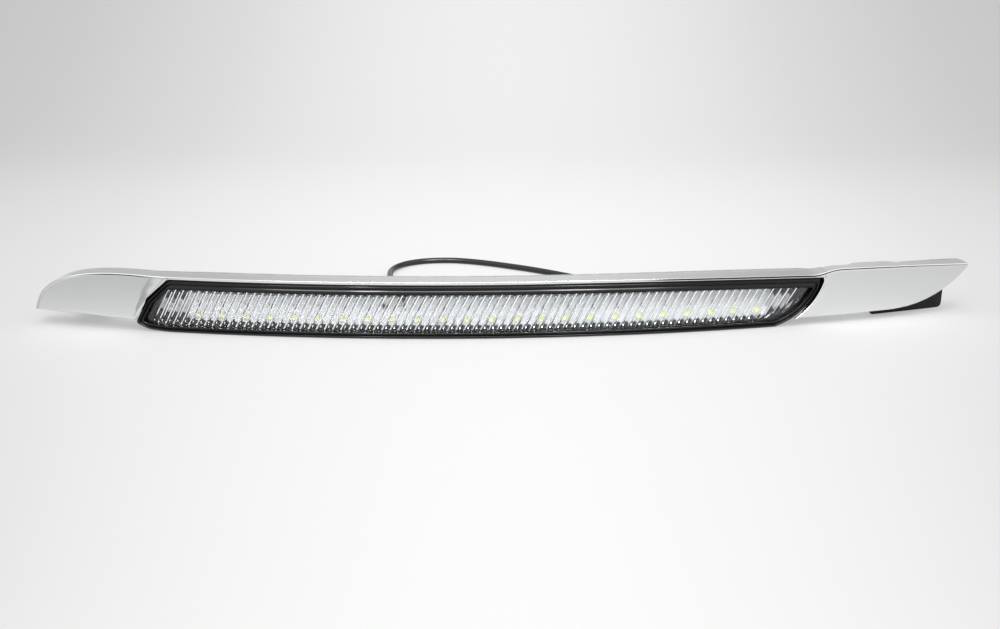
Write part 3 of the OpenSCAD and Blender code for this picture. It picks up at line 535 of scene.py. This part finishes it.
def skin_plate(x_rows, d_rows, z_rows, panel_rows, floor_z, thick):
    """Outer rows and the inner skin behind them, which lies deeper behind the face and lower under the top.

    From the face's last row to the top's first, the inner rows are spaced evenly along a straight line.
    """
    face, top = panel_rows - 1, panel_rows + BAND_ROWS
    inner_d, inner_z = d_rows + SKIN, z_rows.copy()
    inner_d[top:] = np.maximum(d_rows[top:], inner_d[face])
    inner_z[top:] = z_rows[top:] - thick
    share = (np.arange(1, BAND_ROWS + 1) / (BAND_ROWS + 1))[:, None]
    inner_d[panel_rows:top] = inner_d[face] * (1 - share) + inner_d[top] * share
    inner_z[panel_rows:top] = inner_z[face] * (1 - share) + inner_z[top] * share
    inner_z = np.maximum(inner_z, floor_z)
    inner_z[:panel_rows] = z_rows[:panel_rows]
    return bowed(x_rows, d_rows, z_rows), bowed(x_rows, inner_d, inner_z)


def left_and_shelf():
    """Outer and inner grids of the left wing and the shelf, in vertical slices from the tip to the right end.

    Near the tip the band and the top's depth shrink with the wing's height there.
    """
    x, top, low = leaf_columns()
    small = np.where(x < -170, np.clip((top - low) / 9, 0.02, 1), 1)
    band = np.minimum(0.95 * small ** 0.4, 0.75 * (top - low)) + 0.1 * smooth_step(x, -166, -148)
    crease = top - band
    up = np.concatenate([[0, 0.02, 0.05], np.linspace(0.09, 1, 18)])[:, None]
    z = low + up * (crease - low)
    d = leaf_face(x[None], z)
    curl = np.array([0.35, 0.1, 0.02])[:, None] * (1 - smooth_step(x, -163, -161))
    d[:len(curl)] += curl
    rear = SHELF_DEPTH - 5.0 * (1 - small) ** 2
    drop = 0.3 - 0.6 * smooth_step(x, -166, -120) - 0.5 * smooth_step(x, 20, 110)
    drop += 1.5 * smooth_step(x, 124, 144)
    flat = 0.45 + 0.35 * smooth_step(x, -150, -140) * (1 - smooth_step(x, 128, 136))
    band_d, band_z = nose_rows(d[-1], crease, top, rear, drop, flat)
    rows_d, rows_z = np.concatenate([d, band_d]), np.concatenate([z, band_z])
    thick = np.minimum(TOP_SKIN, 0.5 * (top - low) + 0.3)
    floor_z = np.where(x > -163, low, low + 0.1)
    return skin_plate(np.broadcast_to(x, rows_d.shape), rows_d, rows_z, len(up), floor_z, thick)


def right_face():
    """Place, height and depth of the right wing's face, in rows from the lamp's round end to the swept edge.

    A row's ends and its heights depend on each other, so both are worked out twelve times over. The face is
    a shallow hollow whose depth falls to the right. A half-round bead runs along the lamp's end, and the
    lower edges roll back as a quarter circle.
    """
    along = np.concatenate([[0, 0.0008, 0.002, 0.004, 0.006, 0.008, 0.0098, 0.011, 0.013],
                            np.linspace(0.03, 0.97, 46), [0.98, 0.99, 0.995, 1.0]])
    up = np.concatenate([[0, 0.015, 0.035, 0.06], np.linspace(0.1, 1, 20)])[:, None]
    x = np.full((len(up), len(along)), 150.0)
    for _ in range(12):
        z = BLADE_LOW + up * (right_crease(x) - BLADE_LOW)
        left = END_X + half_chord(END_R + FIT_GAP, END_Z - z)
        corner = LAMP_CORNER_X + half_chord(LAMP_CORNER_R, z - LAMP_CORNER_Z)
        left = np.where(z > LAMP_CORNER_Z, np.minimum(left, corner), left)
        far = SWEEP_X + half_chord(SWEEP_R, SWEEP_Z - np.maximum(z, BLADE_LOW + BLADE_RISE))
        x = left + along * (np.minimum(far, CORNER_X - 0.3) - left)
    z = np.maximum(z, BLADE_LOW + BLADE_RISE * smooth_step(x, 135, SWEEP_X))
    across = (x - 137) / 71
    d = 0.85 - 0.45 * np.clip(across, 0, 1) + 0.3 * (across - 0.5) ** 2
    rim = np.hypot(x - END_X, z - END_Z) - END_R - FIT_GAP
    bead = 0.08 + 0.55 * (1 - half_chord(1, rim / BEAD_R - 1))
    d = np.where(rim < 2 * BEAD_R, np.minimum(bead, d), d)
    sweep_edge = np.where(x > SWEEP_X, SWEEP_R - np.hypot(x - SWEEP_X, z - SWEEP_Z), np.inf)
    edge = np.minimum(sweep_edge, z - BLADE_LOW)
    roll = EDGE_R * (1 - half_chord(1, 1 - np.clip(edge / EDGE_R, 0, 1)))
    return x, z, d + roll * (rim > 0.5)


def right_wing():
    """The face's rows, then the band's, whose rear edge bulges into a lug and rounds off at the corner."""
    x, z, d = right_face()
    top_x = x[-1]
    lug = smooth_step(top_x, 150, 154) * (1 - smooth_step(top_x, 169, 175))
    rear = SHELF_DEPTH + 2.6 * lug - 3.0 * np.clip((top_x - 205.4) / 2.2, 0, 1) ** 2
    drop = -0.8 + 2.0 * smooth_step(top_x, 124, 144) - 0.9 * smooth_step(top_x, 160, 205)
    band_d, band_z = nose_rows(d[-1], right_crease(top_x), right_top(top_x), rear, drop, 0.45)
    rows_d, rows_z = np.concatenate([d, band_d]), np.concatenate([z, band_z])
    rows_x = np.concatenate([x, np.broadcast_to(top_x, band_d.shape)])
    return skin_plate(rows_x, rows_d, rows_z, len(x), BLADE_LOW, TOP_SKIN)


def turned(profile, sides):
    """Points of a profile of (radius, height) turned about the inward axis: rings of x and z, height as y."""
    p = np.asarray(profile, float)
    a = np.arange(sides) * 2 * np.pi / sides
    x = p[:, :1] * np.cos(a)
    z = p[:, :1] * np.sin(a)
    y = np.broadcast_to(p[:, 1:], x.shape)
    return np.stack([x, y, z], -1).reshape(-1, 3)


BOSS_R, BOSS_END, BOSS_SIDES = 3.0, 6.98, 24
BOSSES = [(-169.5, 12.05), (-164.0, 19.04), (-190.2, 13.98), (-183.8, 13.98), (142.5, 10.0), (146.8, 18.1),
          (169.4, 11.5), (187.6, 14.0)]


def boss(x, z, start):
    """A round boss from the skin back to where an ear or bracket seats on it, square to the bow."""
    ring = turned([(BOSS_R, start), (BOSS_R, BOSS_END)], BOSS_SIDES)
    place = bowed(x, 0, z)
    inward = bowed(x, 1, z) - place
    along = np.array([inward[1], -inward[0], 0])
    up = np.array([0, 0, MM])
    points = place + ring[:, :1] * along + ring[:, 1:2] * inward + ring[:, 2:] * up
    faces = [list(f[::-1]) for f in grid_faces(2, BOSS_SIDES, True)]
    faces += [list(range(BOSS_SIDES)), list(range(2 * BOSS_SIDES - 1, BOSS_SIDES - 1, -1))]
    return points, faces


def joined(parts):
    """Points and faces of several closed shapes as one."""
    points, faces, n = [], [], 0
    for p, f in parts:
        points.append(np.asarray(p).reshape(-1, 3))
        faces += [[int(v) + n for v in q] for q in f]
        n += len(points[-1])
    return np.concatenate(points), faces


chrome = plain_material("plated_trim", (0.77, 0.785, 0.775), 0.1, metallic=1.0)
spread(chrome, object_noise(chrome, 120), "Roughness", 0.07, 0.12)
trim_parts = [closed_plate(*left_and_shelf()), closed_plate(*right_wing())]
trim_parts += [boss(x, z, leaf_depth(z) + 1.2 if x < 0 else 1.6) for x, z in BOSSES]
trim = mesh_piece("bright_trim", *joined(trim_parts), chrome, "chrome_plate")
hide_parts("chrome_trim")

# Brackets
# Two folded steel brackets, painted black, are screwed to bosses behind the trim's wings.
# The right one's foot stands on the ground.
def rounded_copy(name, width, mat, angle=35.0):
    """The node's own mesh with its edges broken by a bevel of that width in millimetres."""
    mesh = nodes[name].data.copy()
    mesh.transform(nodes[name].matrix_world)
    work = bmesh.new()
    work.from_mesh(mesh)
    bmesh.ops.remove_doubles(work, verts=work.verts, dist=1e-6)
    bmesh.ops.dissolve_limit(work, angle_limit=math.radians(0.5), verts=work.verts, edges=work.edges)
    work.to_mesh(mesh)
    work.free()
    mesh.materials.clear()
    mesh.materials.append(mat)
    mesh.polygons.foreach_set("use_smooth", [True] * len(mesh.polygons))
    obj = bpy.data.objects.new(name + "_finished", mesh)
    bpy.context.scene.collection.objects.link(obj)
    edges = obj.modifiers.new("edges", "BEVEL")
    edges.width = width * MM
    edges.segments = 3
    edges.limit_method = "ANGLE"
    edges.angle_limit = math.radians(angle)
    edges.harden_normals = True
    edges.use_clamp_overlap = True
    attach(obj, "root")
    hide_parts(name)


bracket_black = plain_material("bracket_black", (0.004, 0.004, 0.005), 0.3)
bracket_black.node_tree.nodes["Principled BSDF"].inputs["Specular IOR Level"].default_value = 0.25
spread(bracket_black, object_noise(bracket_black, 300), "Roughness", 0.2, 0.32)
for name in ("left_bracket", "right_bracket"):
    rounded_copy(name, 0.35, bracket_black)

# Cable
# Round two-core lead, 3 mm across, with a glossy black jacket.
# It leaves the gland, falls to the ground, swings round in a wide loop and winds up behind the lamp.
CABLE_D = 3 * MM
LIE_Z = 1.56
GLAND_TIP = (-46.52, 17.3, 17.88)
CABLE_ROUTE = [(-46.5, 18.8, 17.8), (-47.1, 22.5, 16.9), (-47.5, 27.5, 14.9), (-48.1, 32.5, 12),
               (-48.9, 37.5, 8.6), (-49.9, 42.5, 5.6), (-51.1, 48, 3.3), (-52.6, 54.5, 2), (-54.6, 62, LIE_Z),
               (-57, 70, LIE_Z), (-59.3, 78, LIE_Z), (-60.6, 86, LIE_Z), (-60.5, 94, LIE_Z),
               (-58, 101.5, LIE_Z), (-53, 107.6, LIE_Z), (-46, 111.6, LIE_Z), (-38, 113.4, LIE_Z),
               (-29.5, 113.4, LIE_Z), (-21, 111.4, LIE_Z), (-12, 108, LIE_Z), (-3, 103.6, LIE_Z),
               (6, 98.8, LIE_Z), (15, 93.4, LIE_Z), (24, 87.2, LIE_Z), (33, 80.5, LIE_Z), (42, 73.4, LIE_Z),
               (51, 66, LIE_Z)]
TAIL = [(46, 20.9, LIE_Z), (42, 20.9, 1.66), (38, 21, 2.26), (34, 21.1, 3.26), (30, 21.2, 3.92),
        (28, 21.2, 3.92)]
COIL_MIDDLE, COIL_R = (46, 42), 18.0
TURN_APART, LAYER_APART, LEAD_APART = 3.0, 3.06, 3.1
ARRIVE_ANGLE, ROLL_FROM, COIL_TURN = 50, 1150, 1220


def smooth_path(points, steps):
    """Smooth curve through the points: each span is the cubic with the neighbours' slope at its ends."""
    p = np.asarray(points, float)
    p = np.vstack([p[0], p, p[-1]])
    t = np.linspace(0, 1, steps, endpoint=False)[None, :, None]
    a, b, c, d = p[:-3, None], p[1:-2, None], p[2:-1, None], p[3:, None]
    out = 0.5 * (2 * b + (c - a) * t + (2 * a - 5 * b + 4 * c - d) * t**2 + (3 * b - a - 3 * c + d) * t**3)
    return np.vstack([out.reshape(-1, 3), p[-1]])


def coil_path():
    """Turns of the stored coil: radius and height are smooth steps over the angle, clockwise.

    It runs an outer and an inner turn, then goes up a layer and out again. Over the last 70 degrees it rolls
    down beside the coil as a quarter circle.
    """
    turn = np.arange(0, COIL_TURN, 6.0)
    roll = smooth_step(turn, ROLL_FROM, COIL_TURN) * np.pi / 2
    radius = COIL_R + LEAD_APART * (1 - smooth_step(turn, 0, 80)) + LEAD_APART * np.sin(roll)
    radius += TURN_APART * (smooth_step(turn, 950, 1030) - smooth_step(turn, 360, 440))
    height = LIE_Z + LAYER_APART * (smooth_step(turn, 665, 725) - 1 + np.cos(roll))
    angle = np.radians(ARRIVE_ANGLE - turn)
    across, deep = COIL_MIDDLE
    return np.stack([across + radius * np.cos(angle), deep + radius * np.sin(angle), height], 1)


lead_in = smooth_path([GLAND_TIP] + CABLE_ROUTE + [tuple(coil_path()[0])], 6)[:-1]
tail_out = smooth_path(TAIL, 4)
cable_line = np.vstack([lead_in, coil_path()[:-1], tail_out[1:]]) * MM


def round_tube(line, radius, sides=20):
    """Rings of points round a line, each square to it, with a closing fan at each end."""
    ahead = np.gradient(line, axis=0)
    ahead /= np.linalg.norm(ahead, axis=1)[:, None]
    side = np.cross(ahead, (0, 0, 1.0))
    side /= np.linalg.norm(side, axis=1)[:, None]
    up = np.cross(ahead, side)
    a = np.arange(sides) * 2 * np.pi / sides
    rings = line[:, None] + radius * (side[:, None] * np.cos(a)[:, None] + up[:, None] * np.sin(a)[:, None])
    n = len(line)
    verts = np.vstack([rings.reshape(-1, 3), line[0], line[-1]])
    faces = [list(f) for f in grid_faces(n, sides, True)]
    faces += [[n * sides, (k + 1) % sides, k] for k in range(sides)]
    faces += [[n * sides + 1, (n - 1) * sides + k, (n - 1) * sides + (k + 1) % sides] for k in range(sides)]
    return verts, faces


jacket_black = plain_material("cable_jacket", (0.005, 0.005, 0.006), 0.25, coat=0.1)
spread(jacket_black, object_noise(jacket_black, 400), "Roughness", 0.18, 0.28)
cable = mesh_piece("cable_run", *round_tube(cable_line, CABLE_D / 2), jacket_black, "cable_black")
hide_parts("cable", "cable_coil", "cable_tail")
for name in ("coil_tie", "plug_body", "plug_boot"):
    finish_node(name, housing_black)
finish_node("cable_gland", jacket_black)
brass = plain_material("pin_brass", (0.72, 0.52, 0.22), 0.3, metallic=1.0)
spread(brass, object_noise(brass, 1800), "Roughness", 0.2, 0.36)
finish_node("plug_pins", brass)

# Camera, floor and lights
# The light stands on a white sheet that curves up into a wall greyed by painted shade, under soft overcast
# light.
# The camera looks along +Y and down by 18 degrees.
camera_data = bpy.data.cameras.new("camera")
camera_data.sensor_width = 36
camera_data.lens = 39.6
camera = bpy.data.objects.new("camera", camera_data)
camera.location = (-0.005, -0.4493, 0.1543)
camera.rotation_euler = (math.radians(90 - 18), 0, 0)
bpy.context.scene.collection.objects.link(camera)
bpy.context.scene.camera = camera


def stops(tree, source, start, end, values, kind="LINEAR"):
    """Colour ramp over a value's range from start to end, its stops given as (place, tone)."""
    place = tree.nodes.new("ShaderNodeMapRange")
    place.inputs["From Min"].default_value = start
    place.inputs["From Max"].default_value = end
    tree.links.new(source, place.inputs["Value"])
    ramp = tree.nodes.new("ShaderNodeValToRGB")
    ramp.color_ramp.interpolation = kind
    while len(ramp.color_ramp.elements) < len(values):
        ramp.color_ramp.elements.new(0.5)
    for stop, (at, tone) in zip(ramp.color_ramp.elements, values):
        stop.position = (at - start) / (end - start)
        stop.color = (tone, tone, tone, 1)
    tree.links.new(place.outputs["Result"], ramp.inputs["Fac"])
    return ramp.outputs["Color"]


def combined(tree, operation, first, second):
    """Math node over a socket and a second socket or number."""
    node = tree.nodes.new("ShaderNodeMath")
    node.operation = operation
    tree.links.new(first, node.inputs[0])
    if isinstance(second, (int, float)):
        node.inputs[1].default_value = second
    else:
        tree.links.new(second, node.inputs[1])
    return node.outputs["Value"]


def multiplied(tree, first, second):
    """Product of two colours."""
    node = tree.nodes.new("ShaderNodeMix")
    node.data_type = "RGBA"
    node.blend_type = "MULTIPLY"
    node.inputs["Factor"].default_value = 1.0
    tree.links.new(first, node.inputs["A"])
    tree.links.new(second, node.inputs["B"])
    return node.outputs["Result"]


SHEET_NEAR, SHEET_FAR, SHEET_HALF = -0.4, 2.0, 2.5
SHEET_START, SHEET_BEND, SHEET_BEND_R, WALL_TOP = -0.8, 0.45, 0.5, 2.6
SHEET_GLOW = 0.9
sheet_white = plain_material("white_sheet", (0.88, 0.88, 0.88), 0.7)
tree = sheet_white.node_tree
sheet_shader = tree.nodes["Principled BSDF"]
place = tree.nodes.new("ShaderNodeTexCoord")
axes = tree.nodes.new("ShaderNodeSeparateXYZ")
tree.links.new(place.outputs["Object"], axes.inputs["Vector"])
# Painted light: the sheet is lightest just behind the light and greyer towards the far wall.
painted_light_by_depth = stops(tree, axes.outputs["Y"], SHEET_NEAR, SHEET_FAR,
                   [(-0.4, 0.42), (0.05, 0.44), (0.22, 0.45), (0.5, 0.415), (1.0, 0.395), (2.0, 0.395)],
                   "B_SPLINE")
# Painted shade: the sheet darkens towards both sides, and the fall-off is widest near the camera.
width = combined(tree, "ABSOLUTE", axes.outputs["X"], 0)
side_shade_spread = stops(tree, axes.outputs["Y"], SHEET_NEAR, SHEET_FAR,
                   [(-0.4, 1.0), (-0.2, 0.8), (0.0, 0.5), (0.3, 0.42), (2.0, 0.4)])
painted_side_shade = stops(tree, combined(tree, "MULTIPLY", width, side_shade_spread), 0, 0.3,
                  [(0.0, 1.0), (0.03, 0.99), (0.07, 0.93), (0.11, 0.84), (0.18, 0.7), (0.3, 0.6)], "B_SPLINE")
# The sheet's colour, with its painted shade, feeds both its base and its emission.
sheet_white_and_painted_shade = multiplied(tree, painted_light_by_depth, painted_side_shade)
tree.links.new(sheet_white_and_painted_shade, sheet_shader.inputs["Base Color"])
tree.links.new(sheet_white_and_painted_shade, sheet_shader.inputs["Emission Color"])
rays = tree.nodes.new("ShaderNodeLightPath")
shown = rays.outputs["Is Camera Ray"]
for kind in ("Is Glossy Ray", "Is Transmission Ray"):
    shown = combined(tree, "MAXIMUM", shown, rays.outputs[kind])
glow = combined(tree, "MULTIPLY", shown, SHEET_GLOW)
tree.links.new(glow, sheet_shader.inputs["Emission Strength"])
sheet_shader.inputs["Specular IOR Level"].default_value = 0.1

bend = np.radians(np.arange(10, 91, 10))
run = np.concatenate([np.linspace(SHEET_START, SHEET_BEND, 4), SHEET_BEND + SHEET_BEND_R * np.sin(bend),
                      [SHEET_BEND + SHEET_BEND_R]])
rise = np.concatenate([np.zeros(4), SHEET_BEND_R * (1 - np.cos(bend)), [WALL_TOP]])
edge = np.array([-SHEET_HALF, SHEET_HALF])
sheet_points = np.stack(np.broadcast_arrays(edge[None, :], run[:, None], rise[:, None]), -1)
sheet_mesh = bpy.data.meshes.new("sheet")
sheet_mesh.from_pydata(sheet_points.reshape(-1, 3).tolist(), [], grid_faces(len(run), 2)[:, ::-1].tolist())
sheet_mesh.polygons.foreach_set("use_smooth", [True] * len(sheet_mesh.polygons))
sheet_mesh.materials.append(sheet_white)
sheet = bpy.data.objects.new("sheet", sheet_mesh)
bpy.context.scene.collection.objects.link(sheet)

world = bpy.data.worlds.new("studio")
bpy.context.scene.world = world
world.use_nodes = True
tree = world.node_tree
place = tree.nodes.new("ShaderNodeTexCoord")
axes = tree.nodes.new("ShaderNodeSeparateXYZ")
tree.links.new(place.outputs["Generated"], axes.inputs["Vector"])
sky = stops(tree, axes.outputs["Z"], -1, 1, [(-1, 0.9), (0.13, 0.85), (0.17, 1.5), (0.6, 1.3), (1, 1.4)])
low_band = stops(tree, axes.outputs["Z"], -1, 1,
                 [(-1, 0), (-0.03, 0), (-0.01, 1), (0.13, 1), (0.18, 0), (1, 0)])
facing = stops(tree, axes.outputs["X"], -1, 1,
               [(-1, 0), (-0.76, 0), (-0.69, 1), (-0.595, 1), (-0.575, 0), (0.38, 0), (0.42, 1), (0.8, 1),
                (0.95, 0.3), (1, 0.3)])
far_side = stops(tree, axes.outputs["X"], -1, 1, [(-1, 0.45), (-0.88, 0.4), (-0.78, 0), (1, 0)])
either = combined(tree, "MAXIMUM", multiplied(tree, low_band, facing), far_side)
seen = tree.nodes.new("ShaderNodeMix")
seen.data_type = "RGBA"
tree.links.new(either, seen.inputs["Factor"])
tree.links.new(sky, seen.inputs["A"])
seen.inputs["B"].default_value = (0.012, 0.012, 0.01, 1)
tree.links.new(seen.outputs["Result"], tree.nodes["Background"].inputs["Color"])
tree.nodes["Background"].inputs["Strength"].default_value = 1.0
bpy.context.scene.view_settings.view_transform = "Standard"


def soft_light(name, place, aim, size, power):
    """Area light at a place, turned to face an aim."""
    data = bpy.data.lights.new(name, "AREA")
    data.shape = "RECTANGLE"
    data.size, data.size_y = size
    data.energy = power
    light = bpy.data.objects.new(name, data)
    light.location = place
    ahead = mathutils.Vector(aim) - mathutils.Vector(place)
    light.rotation_euler = ahead.to_track_quat("-Z", "Y").to_euler()
    bpy.context.scene.collection.objects.link(light)
    return light


soft_light("ceiling", (0.03, -0.25, 1.3), (0, 0.05, 0), (0.5, 0.12), 3)
soft_light("front_fill", (0.0, -0.75, 0.95), (0, 0.0, 0), (1.3, 0.3), 2.5)
for name, x, size, power in (("front_strip", 0.0, 1.1, 9), ("left_lamp", -0.267, 0.045, 2),
                             ("right_lamp", 0.278, 0.14, 3)):
    mirrored = soft_light(name, (x, -0.74, 0.94), (x * 0.2, 0, 0), (size, 0.33), power)
    mirrored.visible_diffuse = False
